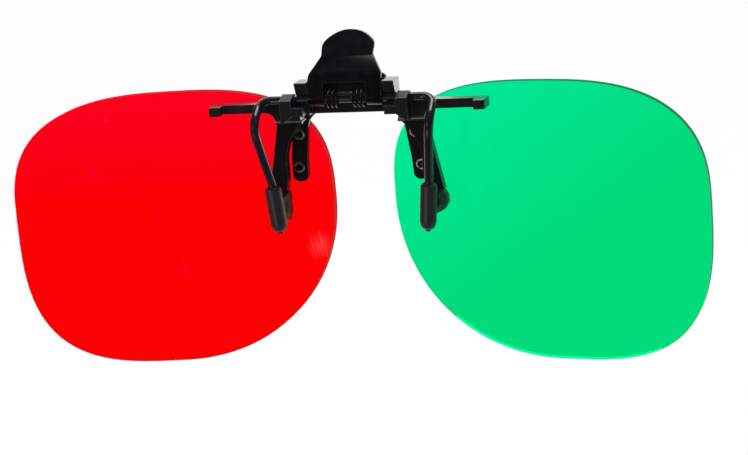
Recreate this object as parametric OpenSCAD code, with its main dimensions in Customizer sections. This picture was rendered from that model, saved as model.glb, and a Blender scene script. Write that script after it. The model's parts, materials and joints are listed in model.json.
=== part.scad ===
// Flip-up clip-on for spectacles with one red and one green lens.
// Millimetres, +Z up, +X to the wearer's right, +Y away from the wearer.
// Origin: the middle of the jaw that holds the spectacle lens.

/* [Lenses] */
// lens centre from the middle of the pair
lens_x = 36.2; // [34:0.1:40]
// height of the lens centre
lens_z = -3.9; // [-8:0.1:0]
// reach of the outline outward
lens_out = 29.15; // [24:0.05:31]
// reach of the outline inward
lens_in = 30.22; // [29:0.05:31]
// reach of the outline upward
lens_up = 21.54; // [19:0.05:21.8]
// reach of the outline downward
lens_down = 29.71; // [22:0.05:34]
// lens thickness
lens_t = 1.8; // [1.2:0.1:2.4]
// radius of the one sphere on which both lenses lie
base_r = 220; // [180:1:400]

/* [Body] */
// half distance over the two side arms
arm_reach = 25.8; // [20:0.1:30]
// height of an arm
arm_h = 1.7; // [1.2:0.1:2.0]
// width of the hook at the end of an arm
hook_w = 2.1; // [1.6:0.1:3]
// how far a hook reaches toward the wearer from the arm
hook_reach = 2.3; // [1.5:0.1:3.5]
// gap between the thumb lever and an ear
ear_gap = 0.25; // [0.15:0.05:0.5]
// thickness of an ear
ear_t = 2.2; // [1.6:0.1:2.3]
// top of the ears
ear_top = 22.7; // [21.5:0.1:23.5]
// half height of the wire's bearing in the cheek beside each ear
bearing_r = 1.15; // [1.1:0.05:1.5]
// width of the cheek's bearing
cheek_w = 2.15; // [1.8:0.05:2.6]
// how far the cheek stands toward the wearer from the wire's middle
cheek_reach = 2.7; // [1.6:0.05:3]

/* [Prongs and pads] */
// prong thickness
prong_t = 1.9; // [1.2:0.1:2.2]
// how far the prong's lip stands out below the block
lip_reach = 0.35; // [0.2:0.05:0.5]
// pad width across the prong
pad_w = 4.15; // [3.9:0.05:6]
// pad thickness
pad_t = 4.45; // [3:0.05:5]
// pad height
pad_h = 5.3; // [4.8:0.1:6.5]

/* [Claw] */
// wire diameter
wire_d = 1.6; // [1.3:0.05:1.7]
// how far the wire's outer bend stands outside the block
claw_out = 2.33; // [1.9:0.05:3]
// how far the claw's knee stands toward the wearer
knee_y = 5.2; // [4.5:0.1:6]
// knee bend radius
knee_r = 3.6; // [2.5:0.1:4]
// sleeve diameter
sleeve_d = 3.1; // [2.4:0.1:3.4]
// sleeve length
sleeve_l = 8.5; // [7:0.1:10]

/* [Thumb lever] */
// lever half width at its foot
lever_w = 6.85; // [6.6:0.05:6.9]
// lever half width at its head
head_w = 4.92; // [4.2:0.05:5.5]
// lever sheet thickness
lever_t = 0.5; // [0.4:0.05:0.7]
// window half width
window_w = 4.0; // [3.6:0.1:4.2]

/* [Spring] */
// spring wire diameter
coil_wire = 0.36; // [0.3:0.02:0.38]
// mean coil radius
coil_r = 1.45; // [1.35:0.05:1.5]
// distance from turn to turn
coil_pitch = 0.8; // [0.79:0.01:0.9]

/* [Lens bridge] */
// bridge sheet thickness
bridge_t = 1.0; // [0.8:0.05:1.1]
// bridge knuckle radius
knuckle_r = 1.5; // [1.3:0.05:1.55]
// flip pin diameter
pin_d = 1.2; // [0.9:0.05:1.4]
// rivet shank diameter
rivet_d = 1.4; // [1.0:0.05:1.5]
// rivet head diameter
rivet_head_d = 2.2; // [2.0:0.05:2.6]

/* [Fits] */
// radial clearance of the turning wire in its bearings
run_gap = 0.05; // [0.03:0.01:0.08]
// radial clearance of pieces that stay fixed to each other
seat_gap = 0.02; // [0.01:0.01:0.04]
// jaw gap at rest
jaw_gap = 0.3; // [0.2:0.05:0.6]

/* [Build] */
// sub-part to build, or all

/* [Hidden] */
$fn = 48;

// grip axis and flip axis, both along X, as [y, z]
grip_y = 0.45;
grip_z = 19.45;
grip = [grip_y, grip_z];
flip_y = 5.0;
flip_z = 19.4;
flip = [flip_y, flip_z];

// body levels
arm_y0 = 0.93;
arm_y1 = 3.25;
arm_z1 = 18.75;
arm_z0 = arm_z1 - arm_h;
body_y1 = 3.3;
wall_y0 = 2.45;
wall_z0 = 16.5;
ear_y0 = grip_y - 1.3;
ear_foot_y = grip_y - 0.4;
ear_foot_z = grip_z + 1.0;
ear_in = lever_w + ear_gap;
ear_out = ear_in + ear_t;
cheek_in = ear_in + 0.5;
cheek_mid = ear_out + 0.45;
cheek_out = cheek_mid + cheek_w;
cheek_y0 = grip_y - cheek_reach;
cheek_z0 = 15.6;
cheek_nose_z = grip_z + 0.3;
ledge_z0 = 16.85;
ledge_z1 = 18.4;
block_x = ear_out + 4.67;
block_z = 15.35;
block_y0 = 2.1;
block_foot_y = block_y0 - 0.5;
block_y1 = 4.1;
lug_x0 = ear_in - 0.9;
lug_x1 = lug_x0 + 2;
lug_r = 1.6;
peg_x = 4.5;
peg_z = 22.2;
peg_r = 0.5;

// prong outline: a concave inner arc that runs into a straight edge
prong_y0 = 2.1;
prong_arc_r = 10.2;
prong_arc_z = 7.1;
prong_arc = [block_x - 1.12 - prong_arc_r, prong_arc_z];
prong_in = block_x - 1.17;
prong_low_in = block_x - 0.7;
prong_top_out = block_x - 0.07;
prong_low_out = block_x + 2.5;
prong_low_z = 2.15;
tip_z = -1.4;
tip_in = block_x - 0.55;
tip_out = block_x + 2.0;
root_x0 = block_x - 3.07;
root_x1 = block_x - 0.97;
root_y0 = 2.6;
root_y1 = 3.6;
root_z = 16.9;

// lip that shows along the block's foot
lip_y = block_foot_y - lip_reach;
lip_x = block_x + 0.2;

// pads
pad_x0 = block_x - 1.12;
pad_z1 = 2.0;
pad_y0 = jaw_gap / 2;

// claw: corner points of the wire's centre line on the right side
wire_r = wire_d / 2;
swell = 0.012;
lap = 0.12;
bore_r = wire_r + run_gap;
rear_y = -jaw_gap / 2 - sleeve_d / 2;
sleeve_top = 0.35;
sleeve_floor = 0.46;
sleeve_dir = unit([-0.86, 0, -8.9]);
nub_r = 0.45;
nub_l = 0.85;
claw_x = block_x + claw_out;
claw_b = [claw_x, grip_y, grip_z];
claw_c = [claw_x + 0.05, -knee_y, 15.5];
claw_d = [claw_x - 1.54, rear_y, 4.35];
claw_e = claw_d + sleeve_dir * (sleeve_top + sleeve_l - sleeve_floor);
corner_r = 2.2;
ankle_r = 2.0;

// lever section in Y and Z, rear face first, wearer's side
barrel_r = 1.3;
lever_line = [[grip[0] - barrel_r, grip[1]], [-0.32, 22.4], [0.45, 23.9], [3.1, 26.9], [6.6, 31.1]];
head_z = 28.2;
head_top_z = 31.1;
head_side_r = 1.6;
neck_w = 4.8;
neck_z = 26.9;
flare_z = 23.9;
barrel_x0 = window_w - 0.1;
barrel_x1 = lever_w + 0.05;

// spring
bridge_deg = 145;
coil_x0 = 1.52;
coil_turns = 2 + (270 - bridge_deg) / 360;
coil_bend = 0.45;

// bridge and lens sphere: its centre is [0, sphere_y, lens_z]
strip_seat_y = 6.65;
sphere_y = strip_seat_y - sqrt(base_r * base_r - 11.3 * 11.3 - pow(9 - lens_z, 2));
front_r = base_r + lens_t;
rear_r = base_r - bridge_t;
knuckle_x = lug_x0 - 0.15;
knuckle_flat = knuckle_r - 0.2;
pin_r = pin_d / 2;
rivet_r = rivet_d / 2;
rivet_hole = rivet_r + seat_gap;
rivet_pipe = 0.38;
head_r = rivet_head_d / 2;
head_t = 0.35;
bushing_r = rivet_r + 0.2;
washer_r = bushing_r + 0.2;
far_head_r = washer_r - 0.05;
washer_t = 0.3;
low_rivet = [11.7, 6.0];
high_rivet = [11.0, 12.2];

// helpers for paths: fillet the corners of a line in a plane, then give it a thickness
function unit(v) = v / norm(v);
function turn_at(a, b, c) = acos(max(-1, min(1, unit(b - a) * unit(c - b))));
function corner_points(a, b, c, r) =
    let (t = turn_at(a, b, c), k = r * tan(t / 2), u = unit(b - a), v = unit(c - b), m = unit(v - u),
        o = b + m * (r / cos(t / 2)), n = max(1, ceil(t / 9)), p = b - u * k)
    t < 0.5 || r < 0.001 ? [b]
    : [for (i = [0:n]) let (s = t * i / n) o + (p - o) * cos(s) + u * (r * sin(s))];
function path_points(p, r) = concat([p[0]],
    [for (i = [1:len(p) - 2]) each corner_points(p[i - 1], p[i], p[i + 1], r[i - 1])], [p[len(p) - 1]]);
function ring_points(p, r) =
    [for (i = [0:len(p) - 1]) each corner_points(p[(i + len(p) - 1) % len(p)], p[i], p[(i + 1) % len(p)], r[i])];
function side_of(a, b) = [a[1] - b[1], b[0] - a[0]] / norm(b - a);
function shifted(p, d) =
    [for (i = [0:len(p) - 1])
        let (m = side_of(p[max(0, i - 1)], p[max(1, i)]),
            n = side_of(p[min(i, len(p) - 2)], p[min(i + 1, len(p) - 1)]))
        p[i] + (m + n) * (d / (1 + m * n))];
function backwards(p) = [for (i = [len(p) - 1:-1:0]) p[i]];
function ribbon(p, d) = concat(p, backwards(shifted(p, d)));

// lens outline: four quarters of a superellipse that share their end points
function power(v, n) = (v < 0 ? -1 : 1) * pow(abs(v), n);
function lens_point(a) =
    let (c = cos(a), s = sin(a), n = s >= 0 ? (c >= 0 ? 2.67 : 2.99) : (c >= 0 ? 3.11 : 2.07))
    [lens_x - 0.09 + (c >= 0 ? lens_out : lens_in) * power(c, 2 / n),
        lens_z + 3.43 + (s >= 0 ? lens_up : lens_down) * power(s, 2 / n)];
function even_angle(i, n) = 360 * i / n;
lens_ring = [for (i = [0:95]) lens_point(even_angle(i, 96))];

// a 2D outline drawn in X and Z becomes a block from y0 to y1
module slab(y0, y1) {
    translate([0, y1, 0])
        rotate([90, 0, 0])
            linear_extrude(y1 - y0)
                children();
}

// a 2D outline drawn in Y and Z becomes a block from x0 to x1
module bar(x0, x1) {
    translate([x0, 0, 0])
        rotate([90, 0, 90])
            linear_extrude(x1 - x0)
                children();
}

// a rounded rectangle from corner a to corner b
module soft_rect(a, b, r) {
    translate([a[0] + r, a[1]])
        square([b[0] - a[0] - 2 * r, b[1] - a[1]]);
    translate([a[0], a[1] + r])
        square([b[0] - a[0], b[1] - a[1] - 2 * r]);
    for (x = [a[0] + r, b[0] - r])
        for (z = [a[1] + r, b[1] - r])
            translate([x, z])
                circle(r);
}

module rod_x(x0, x1, c, r) {
    translate([x0, c[0], c[1]])
        rotate([0, 90, 0])
            cylinder(h = x1 - x0, r = r);
}

// what is given for the right side, mirrored to the left
module left() {
    mirror([1, 0, 0])
        children();
}

module both() {
    children();
    left()
        children();
}

// a round bar between two points that enters the bend at each end by a little
module run(p, q, r, lap0 = 0, lap1 = 0) {
    d = q - p;
    translate(p - unit(d) * lap0)
        rotate([0, acos(d[2] / norm(d)), atan2(d[1], d[0])])
            cylinder(h = norm(d) + lap0 + lap1, r = r);
}

// a round bend at corner b between the lines from a and to c, swollen a little as bent wire is
module bend(a, b, c, br, r0) {
    r = r0 + swell;
    t = turn_at(a, b, c);
    u = unit(b - a);
    v = unit(c - b);
    o = b + unit(v - u) * (br / cos(t / 2));
    start = b - u * (br * tan(t / 2));
    ex = unit(start - o);
    ey = u;
    ez = cross(ex, ey);
    translate(o)
        rotate([atan2(ey[2], ez[2]), asin(-ex[2]), atan2(ex[1], ex[0])])
            rotate_extrude(angle = t)
                translate([br, 0])
                    circle(r);
}

function before(a, b, c, br) = b - unit(b - a) * (br * tan(turn_at(a, b, c) / 2));
function after(a, b, c, br) = b + unit(c - b) * (br * tan(turn_at(a, b, c) / 2));

// the shell between two radii of the lens sphere
module shell(r0, r1) {
    translate([0, sphere_y, lens_z])
        difference() {
            sphere(r1);
            sphere(r0);
        }
}

// stands children on the sphere at [x, z], their Z pointing out of it
module on_sphere(p) {
    dx = p[0] / base_r;
    dz = (p[1] - lens_z) / base_r;
    dy = sqrt(1 - dx * dx - dz * dz);
    translate([0, sphere_y, lens_z])
        rotate([-acos(dz), 0, atan2(-dx, dy)])
            children();
}

// clip body: right half of the solid parts
module body_side() {
    // arm with its hook toward the wearer
    intersection() {
        linear_extrude(40, center = true) {
            soft_rect([ear_out - 1, arm_y0], [arm_reach, arm_y1], 0.4);
            soft_rect([arm_reach - hook_w, arm_y0 - hook_reach], [arm_reach, arm_y1], 0.4);
        }
        bar(0, arm_reach + 1)
            soft_rect([arm_y0 - hook_reach - 1, arm_z0], [arm_y1, arm_z1], 0.4);
    }
    // block that carries the prong, its outer side runs into the arm in an arc
    intersection() {
        slab(0, block_y1)
            difference() {
                translate([ear_out - 2.2, block_z])
                    square([block_x + 4.0 - ear_out, arm_z1 - block_z]);
                translate([block_x + 1.8, arm_z0 - 1.8])
                    circle(1.8);
                translate([block_x + 1.8, 0])
                    square([6, arm_z0]);
                translate([block_x, 0])
                    square([6, arm_z0 - 1.8]);
                translate([prong_arc[0], prong_arc[1]])
                    circle(prong_arc_r);
                square([ear_out - 0.1, wall_z0]);
            }
        bar(0, 30)
            polygon([[arm_y0 + 0.2, arm_z1 - 0.1], [arm_y0, arm_z1 - 0.5], [arm_y0, arm_z0],
                [arm_y0 + 0.25, block_z + 0.3], [block_foot_y, block_z], [block_y1, block_z],
                [block_y1, arm_z0 + 0.4], [arm_y1, arm_z1 - 0.5], [arm_y1, arm_z1 - 0.1]]);
    }
    // ear, its face leans back to the wire, which lies open in front of it
    bar(ear_in, ear_out)
        polygon([[body_y1, wall_z0], [body_y1, ear_top], [ear_y0 + 0.1, ear_top], [ear_y0, ear_top - 0.1],
            [ear_foot_y, ear_foot_z], [grip_y, ear_foot_z - 0.25], [grip_y, wall_z0]]);
    // cheek: the wire's bearing beside the ear, with a ledge under the wire in front of the ear
    intersection() {
        slab(cheek_y0, grip_y + bearing_r)
            polygon([[cheek_in, ledge_z0], [cheek_mid, ledge_z0], [cheek_out - 0.3, cheek_z0], [cheek_out, cheek_z0],
                [cheek_out, grip_z + bearing_r], [cheek_mid, grip_z + bearing_r], [cheek_mid, ledge_z1],
                [cheek_in, ledge_z1]]);
        bar(0, cheek_out + 1)
            union() {
                soft_rect([cheek_y0, cheek_z0 - 1], [grip_y + bearing_r, grip_z], 0.1);
                hull() {
                    translate(grip)
                        circle(bearing_r);
                    soft_rect([cheek_y0, grip_z - 1], [grip_y, cheek_nose_z], 0.1);
                }
            }
    }
    // lug of the flip pin
    rod_x(lug_x0, lug_x1, flip, lug_r);
    bar(lug_x0, lug_x1)
        translate([body_y1 - 0.6, flip[1] - lug_r])
            square([flip[0] - body_y1 + 0.6, 2 * lug_r]);
    // peg with a spread head for the finger plate
    translate([peg_x, body_y1 - 0.3, peg_z])
        rotate([-90, 0, 0])
            cylinder(h = 1.5, r = peg_r);
    translate([peg_x, body_y1 + 0.85, peg_z])
        rotate([-90, 0, 0])
            cylinder(h = 0.35, r = peg_r + 0.3);
}

module clip_body() {
    color("black")
        difference() {
            union() {
                both()
                    body_side();
                bar(-ear_in - 0.5, ear_in + 0.5)
                    translate([wall_y0, wall_z0])
                        square([body_y1 - wall_y0, ear_top - wall_z0]);
            }
            // bearings of the wire, the flip pin's seats, the prongs' slots and the leaf's pocket
            rod_x(-cheek_out - 1, -ear_in + 1, grip, bore_r);
            rod_x(ear_in - 1, cheek_out + 1, grip, bore_r);
            rod_x(-lug_x1 - 1, lug_x1 + 1, flip, pin_r + seat_gap);
            both()
                translate([root_x0, root_y0, block_z - 1])
                    cube([root_x1 - root_x0, root_y1 - root_y0, root_z - block_z + 1]);
            translate([-4.6, body_y1 - 0.42, flip[1] - 1.75])
                cube([9.2, 1, 3.5]);
        }
}

module prong() {
    slab(prong_y0, prong_y0 + prong_t)
        difference() {
            polygon([[9.0, block_z], [prong_top_out, block_z], [prong_low_out, prong_low_z],
                [prong_low_out + 0.1, pad_z1], [prong_low_in, pad_z1], [prong_in, prong_arc_z - 2.5],
                [prong_in, prong_arc[1]], [9.0, prong_arc[1]]]);
            translate(prong_arc)
                circle(prong_arc_r);
        }
    // lip along the block's foot, its top slopes toward the wearer
    bar(9.0, lip_x)
        polygon([[prong_y0 + 0.1, block_z], [block_foot_y, block_z], [lip_y, block_z - 0.2],
            [lip_y, block_z - 0.4], [block_foot_y, block_z - 0.6], [prong_y0 + 0.1, block_z - 0.6]]);
    // tongue in the block and tip in the pad
    translate([root_x0, root_y0, block_z - 1])
        cube([root_x1 - root_x0, root_y1 - root_y0, root_z - block_z + 1]);
    slab(prong_y0, prong_y0 + prong_t)
        translate([tip_in, tip_z])
            square([tip_out - tip_in, pad_z1 - tip_z + 1]);
}

module right_prong() {
    color("black")
        prong();
}

module left_prong() {
    color("black")
        left()
            prong();
}

module pad() {
    x1 = pad_x0 + pad_w;
    z0 = pad_z1 - pad_h;
    difference() {
        intersection() {
            slab(pad_y0, pad_y0 + pad_t)
                polygon([[pad_x0, pad_z1], [x1 - 0.7, pad_z1], [x1 - 0.05, pad_z1 - 1.3], [x1, pad_z1 - 2.64],
                    [x1 - 0.7, pad_z1 - 3.8], [x1 - 2.9, z0 + 0.4], [x1 - 3.75, z0], [pad_x0, z0 + 1.4]]);
            linear_extrude(20, center = true)
                soft_rect([pad_x0, pad_y0], [x1, pad_y0 + pad_t], 1.4);
            bar(pad_x0, x1)
                soft_rect([pad_y0, z0], [pad_y0 + pad_t, pad_z1 + 1.2], 1.2);
        }
        slab(prong_y0, prong_y0 + prong_t)
            translate([tip_in, tip_z])
                square([tip_out - tip_in, pad_z1 - tip_z + 1]);
    }
}

module right_pad() {
    color("black")
        pad();
}

module left_pad() {
    color("black")
        left()
            pad();
}

// finger plate: flat on the wall, its tab leans away from the wearer
plate_y = body_y1 + 0.03;
plate_t = 0.8;
plate_x = ear_in - 0.2;
plate_low = ear_top - 1.35;
plate_top = ear_top + 0.7;
tab_x = 3.1;
tab_y = 9.1;
tab_z = plate_top + 2.8;
tab_line = path_points([[plate_y, plate_low], [plate_y, plate_top], [tab_y, tab_z]], [1.2]);

module finger_plate() {
    color("black")
        difference() {
            union() {
                slab(plate_y, plate_y + plate_t) {
                    soft_rect([-plate_x, plate_low], [plate_x, plate_top], 1.0);
                    translate([-plate_x, plate_low])
                        square([2 * plate_x, 1.0]);
                }
                intersection() {
                    bar(-tab_x, tab_x)
                        polygon(ribbon(tab_line, -plate_t));
                    linear_extrude(60)
                        soft_rect([-tab_x, 0], [tab_x, tab_y - 0.2], 1.8);
                }
            }
            for (x = [-peg_x, peg_x])
                translate([x, plate_y - 1, peg_z])
                    rotate([-90, 0, 0])
                        cylinder(h = 3, r = peg_r + seat_gap);
        }
}

// torsion spring: two coils of one wire, joined by a straight bridge
function coil_at(a) = [coil_x0 + coil_pitch * (a - bridge_deg) / 360,
    grip[0] + coil_r * cos(a), grip[1] + coil_r * sin(a)];
coil_end = bridge_deg + 360 * coil_turns;
coil_steps = 8 * ceil(coil_turns);
t0 = [0, -sin(bridge_deg), cos(bridge_deg)];
h0 = coil_at(bridge_deg);
half_path = concat(
    [for (a = [0:22.5:67.5]) h0 - coil_bend * t0 - coil_bend * [1, 0, 0]
        + coil_bend * [sin(a), 0, 0] + coil_bend * (1 - cos(a)) * t0],
    [for (i = [0:coil_steps]) coil_at(bridge_deg + (coil_end - bridge_deg) * i / coil_steps)],
    [[coil_x0 + coil_pitch * coil_turns, wall_y0 - 0.5, grip[1] - coil_r],
        [coil_x0 + coil_pitch * coil_turns, wall_y0 - 0.01, grip[1] - coil_r]]);
function flipped(p) = [-p[0], p[1], p[2]];
spring_path = concat([for (i = [len(half_path) - 1:-1:0]) flipped(half_path[i])], half_path);
half_out = concat([for (a = [0:22.5:67.5]) bridge_deg],
    [for (i = [0:coil_steps]) bridge_deg + (coil_end - bridge_deg) * i / coil_steps], [coil_end, coil_end]);
spring_out = concat([for (i = [len(half_out) - 1:-1:0]) half_out[i]], half_out);
path_n = len(spring_path);
function heading(i) = unit(spring_path[min(i + 1, path_n - 1)] - spring_path[max(i - 1, 0)]);
function end_heading(i) = i == 0 || i == path_n - 1 ? [0, i == 0 ? -1 : 1, 0] : heading(i);
tube_sides = 6;
function tube_ring(i) =
    let (t = end_heading(i), o = [0, cos(spring_out[i]), sin(spring_out[i])], u = unit(o - t * (o * t)),
        v = cross(t, u))
    [for (k = [0:tube_sides - 1]) spring_path[i]
        + coil_wire / 2 * (cos(360 * k / tube_sides) * u + sin(360 * k / tube_sides) * v)];
spring_points = [for (i = [0:path_n - 1]) each tube_ring(i)];
spring_faces = concat([[for (k = [0:tube_sides - 1]) k]],
    [for (i = [0:path_n - 2]) for (k = [0:tube_sides - 1])
        each [[i * tube_sides + k, (i + 1) * tube_sides + k, (i + 1) * tube_sides + (k + 1) % tube_sides],
            [i * tube_sides + k, (i + 1) * tube_sides + (k + 1) % tube_sides,
                i * tube_sides + (k + 1) % tube_sides]]],
    [[for (k = [tube_sides - 1:-1:0]) (path_n - 1) * tube_sides + k]]);
spring_gap = min([for (i = [0:path_n - 7]) for (j = [i + 6:path_n - 1])
    norm(spring_path[i] - spring_path[j]) - coil_wire]);
echo(str("torsion_spring least gap to itself, mm: ", spring_gap));

module torsion_spring() {
    color("silver")
        polyhedron(points = spring_points, faces = spring_faces, convexity = 10);
}

// detent leaf in the wall's pocket, bowed toward the knuckle
leaf_y = body_y1 - 0.42 + 0.26;
leaf_line = path_points([[leaf_y - 0.02, flip[1] - 1.7], [leaf_y + 0.1, flip[1]], [leaf_y - 0.02, flip[1] + 1.7]], [12]);

module detent_spring() {
    color("silver")
        bar(-4.5, 4.5)
            polygon(ribbon(leaf_line, 0.22));
}

module flip_pin() {
    color("silver")
        rod_x(-lug_x1 - 0.1, lug_x1 + 0.1, flip, pin_r);
}

// thumb lever: outline from the wearer's side, right half then left half
head_gap = head_w - head_side_r;
head_zc = (head_gap * head_gap + head_z * head_z - pow(head_top_z - head_side_r, 2))
    / (2 * (head_z - head_top_z + head_side_r));
head_arc_r = head_top_z - head_zc;
head_deg = atan2(head_gap, head_z - head_zc);
function head_arc() = concat(
    [for (a = [0:9:head_deg]) [head_arc_r * sin(a), head_zc + head_arc_r * cos(a)]],
    [for (i = [0:6]) let (a = head_deg + (90 - head_deg) * i / 6)
        [head_gap + head_side_r * sin(a), head_z + head_side_r * cos(a)]]);
lever_side = path_points([[head_w, head_z], [neck_w, neck_z], [lever_w, flare_z], [lever_w, grip[1]]], [0.8, 1.5]);
lever_half = concat(head_arc(), lever_side);
lever_ring = concat(lever_half, [for (i = [len(lever_half) - 1:-1:1]) [-lever_half[i][0], lever_half[i][1]]]);
lever_path = path_points(lever_line, [5, 5, 8]);

module thumb_lever() {
    color("black")
        difference() {
            union() {
                intersection() {
                    bar(-lever_w - 1, lever_w + 1)
                        polygon(ribbon(lever_path, -lever_t));
                    slab(-10, 20)
                        polygon(lever_ring);
                }
                both()
                    rod_x(barrel_x0, barrel_x1, grip, barrel_r);
            }
            // window and the bore of the barrels
            slab(-10, 1.2) {
                soft_rect([-window_w, 18.6], [window_w, 22.5], 0.6);
                translate([-window_w, 18])
                    square([2 * window_w, 2]);
            }
            rod_x(-lever_w - 2, lever_w + 2, grip, wire_r + seat_gap);
        }
}

module claw_side() {
    bend([0, grip[0], grip[1]], claw_b, claw_c, corner_r, wire_r);
    run(after([0, grip[0], grip[1]], claw_b, claw_c, corner_r), before(claw_b, claw_c, claw_d, knee_r),
        wire_r, lap, lap);
    bend(claw_b, claw_c, claw_d, knee_r, wire_r);
    run(after(claw_b, claw_c, claw_d, knee_r), before(claw_c, claw_d, claw_e, ankle_r), wire_r, lap, lap);
    bend(claw_c, claw_d, claw_e, ankle_r, wire_r);
    run(after(claw_c, claw_d, claw_e, ankle_r), claw_e, wire_r, lap, 0);
    run(claw_e, claw_e + sleeve_dir * nub_l, nub_r, lap, 0);
}

module claw_wire() {
    x1 = before([0, grip[0], grip[1]], claw_b, claw_c, corner_r)[0] + lap;
    color("black")
        union() {
            rod_x(-x1, x1, grip, wire_r);
            both()
                claw_side();
        }
}

// sleeve over the lower end of the claw, turned about its own axis
module sleeve() {
    d = claw_e - claw_d;
    r = sleeve_d / 2;
    translate(claw_d)
        rotate([0, acos(d[2] / norm(d)), atan2(d[1], d[0])])
            translate([0, 0, sleeve_top])
                rotate_extrude()
                    difference() {
                        soft_rect([-r, 0], [r, sleeve_l], 0.7);
                        translate([-10, -1])
                            square([10, sleeve_l + 2]);
                        translate([-1, -1])
                            square([wire_r + seat_gap + 1, norm(d) - sleeve_top + 1 + seat_gap]);
                        square([nub_r + seat_gap, sleeve_l + 2]);
                    }
}

module right_sleeve() {
    color("dimgray")
        sleeve();
}

module left_sleeve() {
    color("dimgray")
        left()
            sleeve();
}

// lens bridge: bar, arches and two riveted strips, all on the lens sphere
bar_low = 16.1;
bar_top = 17.45;
neck_top = flip_z + 0.2;
strip_low = 3.1;
strip_in = 9.9;
strip_low_in = 10.1;
strip_out = 12.95;
strip_end_r = 1.25;
strip_ring = ring_points([[0, bar_low], [ear_in + 0.3, bar_low], [ear_out - 0.3, bar_low - 1.5],
    [strip_in, strip_low + 4.1], [strip_low_in, strip_low], [strip_out, strip_low],
    [strip_out - 0.03, strip_low + 4.5], [strip_out - 0.85, bar_low - 2.9], [ear_out + 0.9, bar_top - 0.15],
    [lug_x0 - 0.1, bar_top], [lug_x0 - 0.3, neck_top], [0, neck_top]],
    [0, 1.6, 2.5, 4, strip_end_r, strip_end_r, 4, 4, 1.2, 0, 0, 0]);

module lens_bridge() {
    color("black")
        difference() {
            union() {
                intersection() {
                    slab(-5, 12)
                        both()
                            polygon(strip_ring);
                    shell(rear_r, base_r);
                }
                rod_x(-knuckle_x, knuckle_x, flip, knuckle_r);
            }
            // flats for the two rest positions, the pin's bore and the rivets' holes
            translate([-knuckle_x - 1, flip_y - knuckle_r - 1, flip_z - 3])
                cube([2 * knuckle_x + 2, knuckle_r - knuckle_flat + 1, 6]);
            translate([-knuckle_x - 1, flip_y - 3, flip_z + knuckle_flat])
                cube([2 * knuckle_x + 2, 6, 2]);
            rod_x(-knuckle_x - 1, knuckle_x + 1, flip, pin_r + run_gap);
            both()
                for (p = [low_rivet, high_rivet])
                    on_sphere(p)
                        translate([0, 0, rear_r - 2])
                            cylinder(h = 6, r = rivet_hole);
        }
}

module lens() {
    difference() {
        intersection() {
            slab(-12, 16)
                polygon(lens_ring);
            shell(base_r, front_r);
        }
        for (p = [low_rivet, high_rivet])
            on_sphere(p)
                translate([0, 0, base_r - 2])
                    cylinder(h = lens_t + 4, r = bushing_r + seat_gap);
    }
}

module green_lens() {
    color([0, 0.85, 0.4, 0.5])
        lens();
}

module red_lens() {
    color([1, 0, 0, 0.5])
        left()
            lens();
}

// tubular rivets: a head on the wearer's side, a rolled end on the washer
module rivets() {
    for (p = [low_rivet, high_rivet])
        on_sphere(p)
            translate([0, 0, rear_r - 0.02])
                difference() {
                    union() {
                        translate([0, 0, -head_t])
                            cylinder(h = head_t, r = head_r);
                        cylinder(h = bridge_t + lens_t + washer_t + 0.06, r = rivet_r);
                        translate([0, 0, bridge_t + lens_t + washer_t + 0.06])
                            cylinder(h = head_t, r = far_head_r);
                    }
                    translate([0, 0, -1])
                        cylinder(h = 8, r = rivet_pipe);
                }
}

module right_rivets() {
    color("silver")
        rivets();
}

module left_rivets() {
    color("silver")
        left()
            rivets();
}

module washers() {
    for (p = [low_rivet, high_rivet])
        on_sphere(p)
            translate([0, 0, front_r + 0.01])
                difference() {
                    cylinder(h = washer_t, r = washer_r);
                    translate([0, 0, -1])
                        cylinder(h = 3, r = rivet_hole);
                }
}

module right_washers() {
    color("silver")
        washers();
}

module left_washers() {
    color("silver")
        left()
            washers();
}

module lens_bushings() {
    color("white")
        both()
            for (p = [low_rivet, high_rivet])
                on_sphere(p)
                    translate([0, 0, base_r + 0.01])
                        difference() {
                            cylinder(h = lens_t - 0.02, r = bushing_r);
                            translate([0, 0, -1])
                                cylinder(h = lens_t + 2, r = rivet_hole);
                        }
}

clip_body();
left_prong();
right_prong();
left_pad();
right_pad();
finger_plate();
torsion_spring();
detent_spring();
flip_pin();
thumb_lever();
claw_wire();
left_sleeve();
right_sleeve();
lens_bridge();
red_lens();
green_lens();
left_rivets();
right_rivets();
left_washers();
right_washers();
lens_bushings();
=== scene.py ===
"""Looks of the red and green flip-up clip-on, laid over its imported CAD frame."""
import json

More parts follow.
